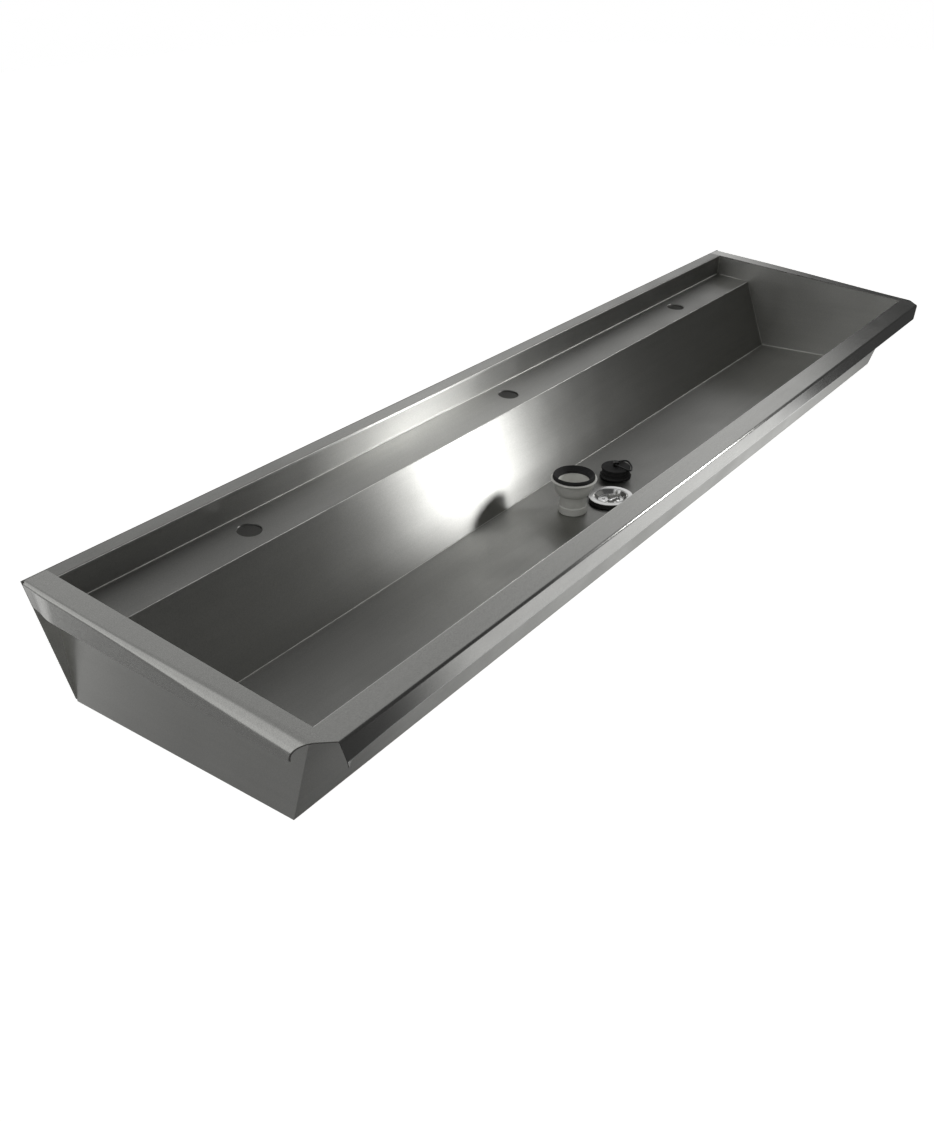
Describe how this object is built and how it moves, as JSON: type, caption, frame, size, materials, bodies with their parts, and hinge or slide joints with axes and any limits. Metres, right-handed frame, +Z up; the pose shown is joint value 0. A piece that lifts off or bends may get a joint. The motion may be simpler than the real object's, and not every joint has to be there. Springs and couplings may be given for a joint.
{
  "type": "trough sink",
  "caption": "Long wall-hung trough sink of folded sheet steel with a stepped tap ledge, rolled end rims and a central outlet, its waste kit lying loose in the bowl.",
  "frame": {"origin": "middle of the row of wall-fixing holes, on the back face that meets the wall", "axes": "+X along the trough to the right as seen from the front, +Y into the wall, +Z up"},
  "size_m": [1.8, 0.4651, 0.203],
  "materials": {
    "satin_steel": "satin",
    "polished_steel": "polished",
    "zinc_steel": "bright",
    "white_plastic": "satin",
    "black_rubber": "matte",
    "black_plastic": "satin",
    "brass": "plain"
  },
  "bodies": {
    "trough": {"front_rim": "satin_steel", "front_wall": "satin_steel", "bowl_floor": "satin_steel", "outlet_pressing": "satin_steel", "rear_wall": "satin_steel", "tap_ledge": "satin_steel", "rear_upstand": "satin_steel", "left_end_panel": "satin_steel", "right_end_panel": "satin_steel", "left_end_rim": "satin_steel", "right_end_rim": "satin_steel", "back_plate": "satin_steel", "tap_hole_plates": "satin_steel", "bay_gussets": "satin_steel", "earth_tag": "satin_steel"},
    "strainer": {"strainer_dish": "polished_steel", "strainer_gasket": "black_rubber", "centre_screw": "zinc_steel"},
    "tail": {"waste_tail": "white_plastic", "tail_gasket": "black_rubber", "screw_insert": "brass"},
    "plug": {"plug_body": "black_rubber", "plug_eye": "black_plastic"},
    "ring": {"pull_ring": "black_plastic"}
  },
  "joints": [
    {"name": "strainer_lift", "type": "slide", "parent": "trough", "child": "strainer", "axis": [0, 0, 1], "range_m": [0, 0.25]},
    {"name": "tail_lift", "type": "slide", "parent": "trough", "child": "tail", "axis": [0, 0, 1], "range_m": [0, 0.25]},
    {"name": "plug_lift", "type": "slide", "parent": "trough", "child": "plug", "axis": [0, 0, 1], "range_m": [0, 0.25]},
    {"name": "ring_pivot", "type": "hinge", "parent": "plug", "child": "ring", "pos_m": [0.0838, -0.22212, -0.07736], "axis": [-0.788, -0.6153, -0.0206], "range_deg": [0, 160]}
  ]
}
